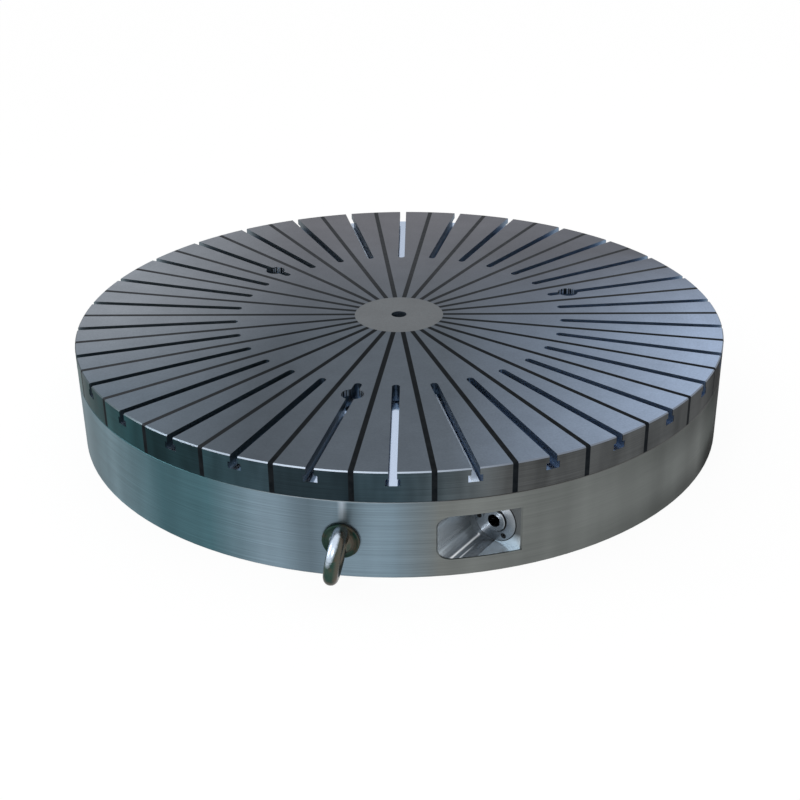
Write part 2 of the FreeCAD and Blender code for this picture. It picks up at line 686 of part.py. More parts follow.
def rotor_carrier():
    """Disc that carries the magnets, with the pin's slot and the column windows."""
    body = new_body("rotor_carrier")
    revolve(body, "carrier_turning", ring_corners("Dims.rotor_bush_radius + Dims.fit_gap",
                                                  CARRIER_RADIUS, ROTOR_BOTTOM, BAR_BOTTOM))
    rotor_window(body, "carrier_window", ROTOR_BOTTOM, BAR_BOTTOM)
    width = "(2*(Dims.pin_sleeve_radius + Dims.pin_slot_gap))"
    length = "(2*(Dims.pin_sleeve_radius + Dims.pin_slot_spare))"
    angle = PIN_SLOT_ANGLE
    inner = f"({PIN_SLOT_RADIUS} - {length}/2)"
    x = f"{inner}*cos({angle}) + {width}/2*sin({angle})"
    y = f"{inner}*sin({angle}) - {width}/2*cos({angle})"
    primitive(body, "pin_slot", "SubtractiveBox", turned(angle, x, y, f"{ROTOR_BOTTOM} - {PAST}"),
              Length=length, Width=width, Height=f"Dims.carrier_thickness + 2*{PAST}")
    screw_pair = rotor_screw_forms(body, "Subtractive", "Dims.thread_gap")
    pattern(body, "rotor_screw_seats", screw_pair, "Dims.pole_count")
    return body


def rotor_screw_forms(body, kind, gap):
    """Countersunk screw from below into a pole piece: shank and cone head."""
    place = polar(ROTOR_SCREW_CIRCLE, "0", ROTOR_BOTTOM)
    shank = primitive(body, "rotor_shank", kind + "Cylinder", place,
                      Radius=f"Dims.rotor_screw_radius + {gap}", Height=f"Dims.rotor_screw_length + {gap}")
    head = primitive(body, "rotor_head", kind + "Cone", place,
                     Radius1=f"Dims.rotor_head_radius + {gap}", Radius2=f"Dims.rotor_screw_radius + {gap}",
                     Height="Dims.rotor_head_height")
    return [shank, head]


def rotor_screws():
    body = new_body("rotor_screws")
    pattern(body, "rotor_screw_circle", rotor_screw_forms(body, "Additive", "0"), "Dims.pole_count")
    return body


def rotor_poles():
    """Soft iron wedges of the rotor. At rest each bridges two pole sectors, so the chuck is off."""
    body = new_body("rotor_poles")
    revolve(body, "rotor_pole_turning", ring_corners("Dims.bar_inner_radius", BAR_OUTER,
                                                     BAR_BOTTOM, BAR_TOP))
    half = "(Dims.magnet_width/2)"
    slot = new_sketch(body, "magnet_slot_outline", "XY_Plane", turned(HALF_PITCH))
    polygon(slot, [("0", f"-{half}"), (BEYOND, f"-{half}"), (BEYOND, half), ("0", half)])
    pattern(body, "magnet_slots", [pocket(body, "magnet_slot", slot)], "Dims.pole_count")
    rotor_window(body, "pole_window", BAR_BOTTOM, BAR_TOP)
    tap = primitive(body, "rotor_tap", "SubtractiveCylinder",
                    polar(ROTOR_SCREW_CIRCLE, "0", f"{BAR_BOTTOM} - {PAST}"),
                    Radius="Dims.rotor_screw_radius + Dims.thread_gap",
                    Height=f"Dims.rotor_screw_length - Dims.carrier_thickness + {PAST} + Dims.tip_gap")
    pattern(body, "rotor_taps", [tap], "Dims.pole_count")
    return body


def rotor_magnets():
    """Magnet bars between the rotor's pole pieces."""
    body = new_body("rotor_magnets")
    revolve(body, "magnet_turning", ring_corners("Dims.bar_inner_radius", BAR_OUTER,
                                                 BAR_BOTTOM, BAR_TOP))
    radial_split(body, "magnet_gap", "Dims.pole_count", "Dims.magnet_width/2", "0")
    rotor_window(body, "magnet_window", BAR_BOTTOM, BAR_TOP)
    return body


def drive_screw():
    """Screw with its hexagon key socket, journal, thrust collar, threaded shank and tail."""
    body = new_body("drive_screw", drive_place("0"))
    start = f"({FLANGE_FACE} - Dims.shaft_proud)"
    journal = "Dims.journal_radius"
    revolve(body, "screw_turning", [
        ("0", start),
        (f"{journal} - {EDGE}", start),
        (journal, f"{start} + {EDGE}"),
        (journal, COLLAR_START),
        ("Dims.thrust_collar_radius", COLLAR_START),
        ("Dims.thrust_collar_radius", COLLAR_END),
        ("Dims.shank_radius", COLLAR_END),
        ("Dims.shank_radius", "Dims.shank_end"),
        ("Dims.tail_radius", "Dims.shank_end"),
        ("Dims.tail_radius", "Dims.tail_end - Dims.tail_edge"),
        ("Dims.tail_radius - Dims.tail_edge", "Dims.tail_end"),
        ("0", "Dims.tail_end"),
    ])
    primitive(body, "key_socket", "SubtractivePrism", turned("30", z=f"{start} - {PAST}"),
              Circumradius="Dims.key_width/2/cos(30)", Height=f"Dims.key_depth + {PAST}")
    return body


def front_bush():
    """Flanged bush at the bottom of the key pocket."""
    body = new_body("front_bush", drive_place("0"))
    bore = "Dims.journal_radius + Dims.running_gap"
    mouth_bottom = f"{FLANGE_FACE} + Dims.mouth_depth"
    revolve(body, "bush_turning", [
        ("Dims.mouth_radius", FLANGE_FACE),
        (f"Dims.flange_radius - {EDGE}", FLANGE_FACE),
        ("Dims.flange_radius", f"{FLANGE_FACE} + {EDGE}"),
        ("Dims.flange_radius", FLANGE_BACK),
        ("Dims.bush_radius", FLANGE_BACK),
        ("Dims.bush_radius", BUSH_END),
        (bore, BUSH_END),
        (bore, mouth_bottom),
        ("Dims.mouth_radius", mouth_bottom),
    ])
    angle = "Dims.flange_screw_angle"
    spot = f"Dims.flange_screw_circle*cos({angle})", f"Dims.flange_screw_circle*sin({angle})"
    outside = f"({FLANGE_FACE} - {PAST})"
    hole = primitive(body, "flange_hole", "SubtractiveCylinder", turned("0", *spot, outside),
                     Radius="Dims.flange_screw_radius + Dims.thread_gap",
                     Height=f"Dims.flange_thickness + 2*{PAST}")
    sink = primitive(body, "flange_sink", "SubtractiveCylinder", turned("0", *spot, outside),
                     Radius="Dims.flange_head_radius + Dims.flange_head_gap",
                     Height=f"Dims.flange_head_sink + Dims.flange_head_height + {PAST}")
    pattern(body, "flange_holes", [hole, sink], "Dims.flange_screw_count")
    return body


def flange_screws():
    """Small cap screws with hexagon sockets, sunk into the flange."""
    body = new_body("flange_screws", drive_place("0"))
    angle = "Dims.flange_screw_angle"
    spot = f"Dims.flange_screw_circle*cos({angle})", f"Dims.flange_screw_circle*sin({angle})"
    head_start = f"({FLANGE_FACE} + Dims.flange_head_sink)"
    head_end = f"({head_start} + Dims.flange_head_height)"
    head = primitive(body, "flange_head", "AdditiveCylinder", turned("0", *spot, head_start),
                     Radius="Dims.flange_head_radius", Height="Dims.flange_head_height")
    shank = primitive(body, "flange_shank", "AdditiveCylinder", turned("0", *spot, head_end),
                      Radius="Dims.flange_screw_radius", Height="Dims.flange_screw_length")
    socket = primitive(body, "flange_socket", "SubtractivePrism", turned("0", *spot, head_start),
                       Circumradius=socket_radius("Dims.flange_screw_radius"),
                       Height="Dims.flange_head_height/2")
    pattern(body, "flange_screw_circle", [head, shank, socket], "Dims.flange_screw_count")
    return body


def drive_ring(name, inner, outer, start, end):
    body = new_body(name, drive_place("0"))
    revolve(body, name + "_turning", ring_corners(inner, outer, start, end))
    return body


def drive_nut():
    """Nut block that slides in the trench, with the drive pin on top."""
    body = new_body("drive_nut", drive_place(NUT_START))
    half_width = "Dims.nut_half_width"
    half_length = "Dims.nut_half_length"
    edge = "Dims.nut_edge"
    upper = f"(Dims.drive_height - {NUT_TOP})"
    lower = f"(Dims.drive_height - {NUT_BOTTOM})"
    section = new_sketch(body, "nut_section", "XY_Plane", turned("0", z=f"-{half_length}"))
    polygon(section, [
        (f"-{half_width}", f"{upper} + {edge}"),
        (f"-{half_width} + {edge}", upper),
        (f"{half_width} - {edge}", upper),
        (half_width, f"{upper} + {edge}"),
        (half_width, f"{lower} - {edge}"),
        (f"{half_width} - {edge}", lower),
        (f"-{half_width} + {edge}", lower),
        (f"-{half_width}", f"{lower} - {edge}"),
    ])
    block = body.newObject("PartDesign::Pad", "nut_block")
    block.Profile = section
    block.setExpression("Length", f"2*{half_length}")
    body.Tip = block
    doc.recompute()
    primitive(body, "drive_pin", "AdditiveCylinder",
              f"placement(vector(0; {upper} + Dims.pin_root; 0); rotation(0; 0; 90))",
              Radius="Dims.pin_radius", Height="Dims.pin_height + Dims.pin_root")
    primitive(body, "nut_thread", "SubtractiveCylinder", turned("0", z=f"-{half_length} - {PAST}"),
              Radius="Dims.shank_radius + Dims.running_gap", Height=f"2*({half_length} + {PAST})")
    return body


def pin_sleeve():
    """Hardened sleeve pressed on the drive pin."""
    body = new_body("pin_sleeve", drive_place(NUT_START))
    place = f"placement(vector(0; Dims.drive_height - {NUT_TOP}; 0); rotation(0; 0; 90))"
    primitive(body, "sleeve_outside", "AdditiveCylinder", place,
              Radius="Dims.pin_sleeve_radius", Height="Dims.pin_height")
    primitive(body, "sleeve_bore", "SubtractiveCylinder", place,
              Radius="Dims.pin_radius + Dims.fit_gap", Height="Dims.pin_height")
    return body


floor_height = "Dims.recess_floor_height"
parts = [
    base_body(),
    north_poles(),
    south_poles(),
    separator_strips(),
    hub_disc(),
    ring("plate_seal", SEAL_INNER, SEAL_OUTER,
         "Dims.base_height - Dims.seal_depth", "Dims.base_height"),
    ring("thrust_ring", THRUST_INNER, THRUST_OUTER,
         f"{floor_height} - Dims.thrust_groove_depth", f"{ROTOR_BOTTOM} - Dims.slide_gap"),
    plate_dowels(),
    screw_set("rim_screws", RIM_CIRCLE, NORTH_START, GROUP_COUNT, "Dims.rim_screw_radius",
              "Dims.rim_screw_length", "Dims.rim_screw_reach", RIM_HEAD, "2*Dims.rim_screw_radius"),
    screw_set("boss_screws", "Dims.boss_circle_radius", SOUTH_START, GROUP_COUNT, "Dims.boss_screw_radius",
              "Dims.boss_screw_length", "Dims.boss_screw_reach", BOSS_HEAD, "2*Dims.boss_screw_radius"),
    hub_screws(),
    eye_bolts(),
    rotor_carrier(),
    ring("rotor_bush", "Dims.boss_radius + Dims.running_gap", "Dims.rotor_bush_radius",
         ROTOR_BOTTOM, BAR_BOTTOM),
    ring("rotor_inner_band", "Dims.rotor_bush_radius", "Dims.bar_inner_radius - Dims.fit_gap",
         BAR_BOTTOM, BAR_TOP),
    ring("rotor_outer_band", f"{BAR_OUTER} + Dims.fit_gap", CARRIER_RADIUS,
         BAR_BOTTOM, BAR_TOP),
    rotor_poles(),
    rotor_magnets(),
    rotor_screws(),
    drive_screw(),
    front_bush(),
    flange_screws(),
    drive_ring("shaft_seal", "Dims.journal_radius + Dims.running_gap", "Dims.mouth_radius - Dims.fit_gap",
               f"{FLANGE_FACE} + Dims.mouth_depth - Dims.seal_thickness",
               f"{FLANGE_FACE} + Dims.mouth_depth"),
    drive_ring("thrust_washer", "Dims.shank_radius + Dims.running_gap", "Dims.bush_radius",
               WASHER_START, WASHER_END),
    drive_ring("rear_bush", "Dims.tail_radius + Dims.running_gap", "Dims.line_bore_radius - Dims.fit_gap",
               "Dims.shank_end + Dims.slide_gap", "Dims.shank_end + Dims.slide_gap + Dims.rear_bush_length"),
    drive_nut(),
    pin_sleeve(),
]
doc.recompute()

for item in doc.Objects:
    if "Invalid" in item.State or "Error" in item.State:
        raise RuntimeError(f"{item.Name} failed: {item.State}")
os.makedirs("parts", exist_ok=True)
for part in parts:
    shape = part.Shape
    if shape.isNull() or not shape.isValid() or not shape.Solids:
        raise RuntimeError(f"{part.Label} has no valid shape")
    shape.exportStep(f"parts/{part.Label}.step")
    print(part.Label, len(shape.Solids), round(shape.Volume / 1000), "cm3")
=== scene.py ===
import math
from types import SimpleNamespace

import bpy
import bmesh
from mathutils import Matrix, Vector


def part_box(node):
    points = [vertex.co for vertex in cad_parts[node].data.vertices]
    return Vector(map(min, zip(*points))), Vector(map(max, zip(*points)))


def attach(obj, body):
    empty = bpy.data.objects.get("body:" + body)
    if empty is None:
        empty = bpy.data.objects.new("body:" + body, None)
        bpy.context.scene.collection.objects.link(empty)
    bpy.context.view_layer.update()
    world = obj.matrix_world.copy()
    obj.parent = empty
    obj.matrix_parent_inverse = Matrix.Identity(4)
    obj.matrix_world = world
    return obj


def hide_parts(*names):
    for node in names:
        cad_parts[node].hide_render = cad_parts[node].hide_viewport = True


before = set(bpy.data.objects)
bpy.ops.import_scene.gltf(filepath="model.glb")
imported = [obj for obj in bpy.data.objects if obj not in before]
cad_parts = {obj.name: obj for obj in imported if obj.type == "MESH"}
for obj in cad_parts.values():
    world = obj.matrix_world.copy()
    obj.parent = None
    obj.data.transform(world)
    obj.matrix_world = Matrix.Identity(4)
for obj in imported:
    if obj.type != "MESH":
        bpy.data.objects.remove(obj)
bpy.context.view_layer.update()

# Main sizes, in metres and radians, read from the frame where it has them.
PLATE_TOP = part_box("hub_disc")[1][2]
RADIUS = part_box("north_poles")[1][0]
HUB_RADIUS = 0.087
POLE_PITCH = math.radians(12.0)
SLOT_DEPTH = 0.0245
SLOT_FLOOR = PLATE_TOP - SLOT_DEPTH

# Lifting eye. Its seat is a spot face.
EYE_DEGREES = 262.3
EYE_ANGLE = math.radians(EYE_DEGREES)
EYE_HEIGHT = 0.070
EYE_SEAT = RADIUS - 0.001
EYE_TILT = math.radians(9.7)
# Direction that the faces with the painted highlight on the eye's ring turn to.
HIGHLIGHT_SIDE = (-0.38, -0.42, 0.82)

# Drive line, which the key pocket follows.
DRIVE_ANGLE = math.radians(56.4)
DRIVE_OFFSET = 0.448
DRIVE_HEIGHT = 0.072
FLANGE_RADIUS = 0.039
KEY_REACH = 0.0108

# Sockets of the mix node, which has a set for each kind of data.
MIX_NUMBERS = (2, 3)
MIX_COLOURS = (6, 7)
MIX_COLOUR_OUT = 2

# Middle part of a noise pattern, where most of its values lie.
NOISE_SPAN = (0.3, 0.7)


# Node helpers

class Nodes:
    """Short names for building one material's or the world's node tree."""

    def __init__(self, tree):
        self.tree = tree

    def add(self, kind, **settings):
        node = self.tree.nodes.new(kind)
        for name, value in settings.items():
            setattr(node, name, value)
        return node

    def link(self, source, target):
        self.tree.links.new(source, target)

    def put(self, socket, value):
        if isinstance(value, bpy.types.NodeSocket):
            self.link(value, socket)
        else:
            socket.default_value = value

    def math(self, operation, a, b=0.0):
        node = self.add("ShaderNodeMath", operation=operation)
        self.put(node.inputs[0], a)
        self.put(node.inputs[1], b)
        return node.outputs[0]

    def product(self, *values):
        """Product of all the values."""
        result = values[0]
        for value in values[1:]:
            result = self.math("MULTIPLY", result, value)
        return result

    def distance(self, value, centre):
        """How far a value is from its centre."""
        return self.math("ABSOLUTE", self.math("SUBTRACT", value, centre))

    def inverse(self, mask):
        """One where the mask is zero."""
        return self.math("SUBTRACT", 1.0, mask)

    def span(self, value, low, high, out_low=0.0, out_high=1.0):
        """Map a value from one span to another, held at the ends."""
        node = self.add("ShaderNodeMapRange", clamp=True)
        for index, number in enumerate((value, low, high, out_low, out_high)):
            self.put(node.inputs[index], number)
        return node.outputs[0]

    def mix(self, factor, a, b):
        """Mix of two colours."""
        node = self.add("ShaderNodeMix", data_type="RGBA")
        self.put(node.inputs[0], factor)
        self.put(node.inputs[MIX_COLOURS[0]], a)
        self.put(node.inputs[MIX_COLOURS[1]], b)
        return node.outputs[MIX_COLOUR_OUT]

    def blend(self, factor, a, b):
        """Mix of two numbers."""
        node = self.add("ShaderNodeMix", data_type="FLOAT")
        self.put(node.inputs[0], factor)
        self.put(node.inputs[MIX_NUMBERS[0]], a)
        self.put(node.inputs[MIX_NUMBERS[1]], b)
        return node.outputs[0]

    def around(self, value, spread):
        """Map a value from 0 to 1 onto a spread to both sides of 1."""
        return self.blend(value, 1.0 - spread, 1.0 + spread)

    def vector(self, x, y, z):
        node = self.add("ShaderNodeCombineXYZ")
        for index, value in enumerate((x, y, z)):
            self.put(node.inputs[index], value)
        return node.outputs[0]

    def parts(self, vector):
        node = self.add("ShaderNodeSeparateXYZ")
        self.link(vector, node.inputs[0])
        return node.outputs

    def noise(self, vector, scale, detail=3.0, roughness=0.55):
        node = self.add("ShaderNodeTexNoise")
        self.put(node.inputs["Vector"], vector)
        node.inputs["Scale"].default_value = scale
        node.inputs["Detail"].default_value = detail
        node.inputs["Roughness"].default_value = roughness
        return node.outputs["Fac"]

    def grain(self, *axes, detail=3.0, roughness=0.55):
        """Noise with its own scale on each axis. An axis is a value with its scale, or None."""
        scaled = [self.math("MULTIPLY", *axis) if axis else 0.0 for axis in axes]
        return self.noise(self.vector(*scaled), 1.0, detail, roughness)

    def bump(self, height, strength, distance):
        node = self.add("ShaderNodeBump")
        node.inputs["Strength"].default_value = strength
        node.inputs["Distance"].default_value = distance
        self.link(height, node.inputs["Height"])
        return node.outputs["Normal"]

    def length(self, a, b):
        """Length of the vector with these two parts."""
        squares = self.math("ADD", self.math("MULTIPLY", a, a), self.math("MULTIPLY", b, b))
        return self.math("SQRT", squares)

    def place(self):
        """Place of the point on the object, with its distance from Z and its angle round it."""
        position = self.add("ShaderNodeTexCoord").outputs["Object"]
        x, y, z = self.parts(position)
        return SimpleNamespace(position=position, x=x, y=y, z=z, radius=self.length(x, y),
                               angle=self.math("ARCTAN2", y, x))

    def drive_place(self, at):
        """Place by the drive line: along it, to its right, above it, and the distance from it."""
        cosine = math.cos(DRIVE_ANGLE)
        sine = math.sin(DRIVE_ANGLE)
        along = self.math("ADD", self.math("MULTIPLY", at.x, cosine), self.math("MULTIPLY", at.y, sine))
        side = self.math("SUBTRACT", self.math("MULTIPLY", at.x, sine), self.math("MULTIPLY", at.y, cosine))
        side = self.math("SUBTRACT", side, DRIVE_OFFSET)
        rise = self.math("SUBTRACT", at.z, DRIVE_HEIGHT)
        return SimpleNamespace(along=along, side=side, rise=rise, reach=self.length(side, rise))

    def normal(self):
        """The face's own normal."""
        return self.add("ShaderNodeNewGeometry").outputs["True Normal"]

    def facing_up(self):
        """Upward part of the face's own normal."""
        return self.parts(self.normal())[2]


def rgb(*values):
    return (*values, 1.0)


def place_angle(degrees):
    """Angle round the chuck in radians, between minus and plus half a turn."""
    return math.radians((degrees + 180.0) % 360.0 - 180.0)


# Helpers for the materials

def new_material(name, metallic, roughness, anisotropic=0.0, edge=0.6):
    """A material with its node helper and its shader, ready for links."""
    material = bpy.data.materials.new(name)
    material.use_nodes = True
    nodes = Nodes(material.node_tree)
    shader = material.node_tree.nodes["Principled BSDF"]
    shader.inputs["Metallic"].default_value = metallic
    shader.inputs["Roughness"].default_value = roughness
    shader.inputs["Anisotropic"].default_value = anisotropic
    shader.inputs["Specular Tint"].default_value = rgb(edge, edge, edge)
    return material, nodes, shader


def radial_tangent(nodes, shader):
    """Grain runs round the chuck's axis."""
    tangent = nodes.add("ShaderNodeTangent", direction_type="RADIAL", axis="Z")
    nodes.link(tangent.outputs[0], shader.inputs["Tangent"])


def painted_side_light(nodes, x, colours, turns):
    """Colours at the left, in the middle and at the right, with their turns in chuck radii, for painted
    reflections and highlights.
    """
    left, middle, right = colours
    first = nodes.mix(nodes.span(x, turns[0] * RADIUS, turns[1] * RADIUS), left, middle)
    return nodes.mix(nodes.span(x, turns[2] * RADIUS, turns[3] * RADIUS), first, right)


def chamfer_mask(nodes, up):
    """One on faces that lie at about 45 degrees."""
    return nodes.product(nodes.span(up, 0.5, 0.6), nodes.span(up, 0.9, 0.8))


def soft_edge(nodes, x):
    """Strength of the light at a grazing angle, which fades at the outside's right end."""
    full = 0.52
    faded = 0.04
    return nodes.span(x, 0.86 * RADIUS, 0.95 * RADIUS, full, faded)


def set_edge(nodes, shader, tone):
    nodes.link(nodes.vector(tone, tone, tone), shader.inputs["Specular Tint"])


def shaded(nodes, colour, *shades):
    """A colour scaled by each of the shades."""
    scaled = nodes.add("ShaderNodeVectorMath", operation="SCALE")
    nodes.link(colour, scaled.inputs[0])
    nodes.link(nodes.product(*shades), scaled.inputs["Scale"])
    return scaled.outputs[0]


# Pole plate

def pole_masks(nodes, at, up):
    """Masks of the plate's faces. A pair is the soft border of a mask, from zero to one."""
    lit_from = (95.0, 97.0)
    lit_to = (109.0, 107.0)
    mouth_side = (0.0068, 0.0056)
    joint_side = (0.0048, 0.0045)
    stripe_side = (0.0074, 0.0078)
    stripe_reach = (0.46, 0.45)
    stripe_depth = 0.012

    level = nodes.span(up, 0.92, 0.98)
    upright = nodes.span(up, 0.5, 0.4)
    top = nodes.product(level, nodes.span(at.z, PLATE_TOP - 0.0004, PLATE_TOP - 0.0001))
    floor = nodes.product(level, nodes.span(at.z, SLOT_FLOOR + 0.003, SLOT_FLOOR + 0.001))
    rim = nodes.product(nodes.span(at.radius, RADIUS - 0.0012, RADIUS - 0.0006), upright)

    half_pitch = POLE_PITCH / 2
    aside = nodes.math("SUBTRACT", nodes.math("FLOORED_MODULO", at.angle, POLE_PITCH), half_pitch)
    aside = nodes.math("ABSOLUTE", nodes.math("MULTIPLY", aside, at.radius))
    line = nodes.math("FLOORED_MODULO", at.angle, math.pi)
    near_lit = nodes.product(nodes.span(line, *map(math.radians, lit_from)),
                             nodes.span(line, *map(math.radians, lit_to)))
    # Painted light: a pale, dull patch on the floors of the slots a little right of the front and of the
    # opposite slots at the back, under their necks.
    lit = nodes.product(floor, nodes.span(aside, *mouth_side), near_lit)

    from_strip_line = nodes.math("SUBTRACT", nodes.math("MULTIPLY", at.radius, half_pitch), aside)
    joint = nodes.product(nodes.span(from_strip_line, *joint_side),
                          nodes.span(at.radius, HUB_RADIUS + 0.0005, HUB_RADIUS + 0.0015))
    # Walls of the mounting bores, where the stripes of painted reflection go.
    stripes_end = PLATE_TOP - stripe_depth
    bore_wall = nodes.product(nodes.span(at.z, stripes_end - 0.0005, stripes_end), nodes.span(up, 0.6, 0.4),
                              nodes.span(aside, *stripe_side), nodes.span(at.radius, *stripe_reach))
    return SimpleNamespace(top=top, floor=floor, rim=rim, lit=lit, joint=joint, bore_wall=bore_wall,
                           chamfer=chamfer_mask(nodes, up))


def top_colour(nodes, at, grind, cloud):
    """Ground top, with painted reflections as one tint each at its left, middle and right, from the front to
    the back.
    """
    left = nodes.mix(nodes.span(at.y, -0.35, 0.0), rgb(0.150, 0.192, 0.238), rgb(0.272, 0.300, 0.340))
    middle = nodes.mix(nodes.span(at.y, -0.1, 0.55), rgb(0.095, 0.116, 0.142), rgb(0.150, 0.153, 0.174))
    right = nodes.mix(nodes.span(at.y, -0.10, 0.34), rgb(0.325, 0.410, 0.560), rgb(0.101, 0.108, 0.129))
    tint = painted_side_light(nodes, at.x, (left, middle, right), (-0.90, -0.34, 0.14, 0.92))
    hub = nodes.span(at.radius, HUB_RADIUS + 0.0002, HUB_RADIUS - 0.0002)
    tint = nodes.mix(hub, tint, rgb(0.154, 0.166, 0.177))

    # Painted shade in a dim line at the front left, and painted light rising towards the rim on the right.
    dim_line = -0.24
    dim_width = 0.16
    dip = nodes.span(nodes.distance(at.x, dim_line), 0.0, dim_width, 0.76, 1.0)
    dip = nodes.blend(nodes.span(at.y, 0.0, -0.25), 1.0, dip)
    outward = nodes.span(at.radius, 0.36, 0.58, 0.84, 1.12)
    outward = nodes.blend(nodes.span(at.x, 0.0, 0.3), 1.0, outward)
    blot = nodes.noise(at.position, 28.0, 4.0)
    speck = nodes.noise(at.position, 260.0, 2.0)
    return shaded(nodes, tint, nodes.around(grind, 0.12), nodes.around(cloud, 0.14),
                  nodes.around(blot, 0.12), nodes.around(speck, 0.16), dip, outward)


def rim_colour(nodes, at, turned):
    """Turned side of the plate, with painted reflections as tints from left to right, where each second
    sector at the left and front is darker.
    """
    # Painted highlight in a band of the rim a little right of the front.
    glare_angle = place_angle(281.0)
    glare_width = (math.radians(1.5), math.radians(7.0))
    left = nodes.mix(nodes.span(at.x, -0.72 * RADIUS, -0.86 * RADIUS),
                     rgb(0.009, 0.043, 0.048), rgb(0.032, 0.094, 0.102))
    colours = (left, rgb(0.026, 0.044, 0.055), rgb(0.056, 0.059, 0.060))
    tint = painted_side_light(nodes, at.x, colours, (-0.88, -0.30, 0.0, 0.30))
    sector = nodes.math("FLOOR", nodes.math("DIVIDE", at.angle, POLE_PITCH))
    odd = nodes.product(nodes.math("FLOORED_MODULO", sector, 2.0), nodes.span(at.x, 0.25, 0.0))
    glare = nodes.span(nodes.distance(at.angle, glare_angle), *glare_width, 1.9, 1.0)
    smudge = nodes.grain((at.angle, 14.0), (at.z, 6.0), None, detail=2.0)
    return shaded(nodes, tint, nodes.span(turned, *NOISE_SPAN, 0.8, 1.25), nodes.blend(odd, 1.22, 0.68),
                  nodes.span(smudge, *NOISE_SPAN, 0.72, 1.3), glare)


def slot_wall_colour(nodes, at, cloud, bore_wall):
    """Slot walls darkened as painted shade and paler towards the back and right as painted reflection, with
    light and dark stripes of painted reflection in the mounting bores.
    """
    # Painted shade on the slot walls, paler towards the back and right as painted reflection.
    left = nodes.mix(nodes.span(at.y, -0.20, -0.05), rgb(0.080, 0.115, 0.140), rgb(0.150, 0.185, 0.210))
    wall = nodes.mix(nodes.span(at.x, -0.2, 0.35), left, rgb(0.200, 0.275, 0.380))
    # Painted reflection in light and dark stripes on the mounting bores' walls.
    stripe_noise = nodes.grain((at.x, 330.0), (at.y, 330.0), None, detail=1.0)
    bore_reflection = nodes.mix(nodes.span(stripe_noise, 0.45, 0.55), rgb(0.03, 0.035, 0.04), rgb(0.75, 0.85, 0.95))
    return shaded(nodes, nodes.mix(bore_wall, wall, bore_reflection), nodes.around(cloud, 0.3))


def pole_steel():
    """Ground top, dark turned rim, bright slot floors with painted light in some, dark slot walls of painted
    shade, and a painted highlight along the chamfer.
    """
    material, nodes, shader = new_material("pole_steel", 0.95, 0.34, 0.25)
    at = nodes.place()
    mask = pole_masks(nodes, at, nodes.facing_up())
    grind = nodes.grain((at.radius, 900.0), (at.angle, 6.0), None)
    turned = nodes.grain((at.angle, 3.0), None, (at.z, 900.0))
    cloud = nodes.noise(at.position, 5.0, 4.0)

    # Painted highlight along the plate's chamfer, brightest in the middle.
    chamfer_light = (rgb(0.09, 0.115, 0.130), rgb(0.46, 0.53, 0.63), rgb(0.175, 0.200, 0.245))
    colour = nodes.mix(mask.top, slot_wall_colour(nodes, at, cloud, mask.bore_wall),
                       top_colour(nodes, at, grind, cloud))
    colour = nodes.mix(mask.floor, colour, rgb(0.55, 0.65, 0.82))
    colour = nodes.mix(mask.rim, colour, rim_colour(nodes, at, turned))
    colour = nodes.mix(mask.chamfer, colour, painted_side_light(nodes, at.x, chamfer_light, (-0.72, -0.35, 0.02, 0.30)))
    # Painted light on those slots' floors.
    colour = nodes.mix(mask.lit, colour, rgb(0.72, 0.84, 1.0))
    colour = nodes.mix(mask.joint, colour, rgb(0.012, 0.016, 0.020))
    nodes.link(colour, shader.inputs["Base Color"])

    roughness = nodes.blend(mask.floor, nodes.blend(grind, 0.28, 0.42), 0.10)
    nodes.link(roughness, shader.inputs["Roughness"])
    nodes.link(nodes.blend(mask.lit, 0.95, 0.0), shader.inputs["Metallic"])
    relief = nodes.math("ADD", nodes.math("MULTIPLY", grind, 0.6), nodes.math("MULTIPLY", turned, 0.4))
    relief = nodes.product(relief, nodes.inverse(mask.floor))
    nodes.link(nodes.bump(relief, 0.10, 0.0004), shader.inputs["Normal"])
    set_edge(nodes, shader, nodes.blend(mask.rim, 0.6, soft_edge(nodes, at.x)))
    radial_tangent(nodes, shader)
    return material


# Base body

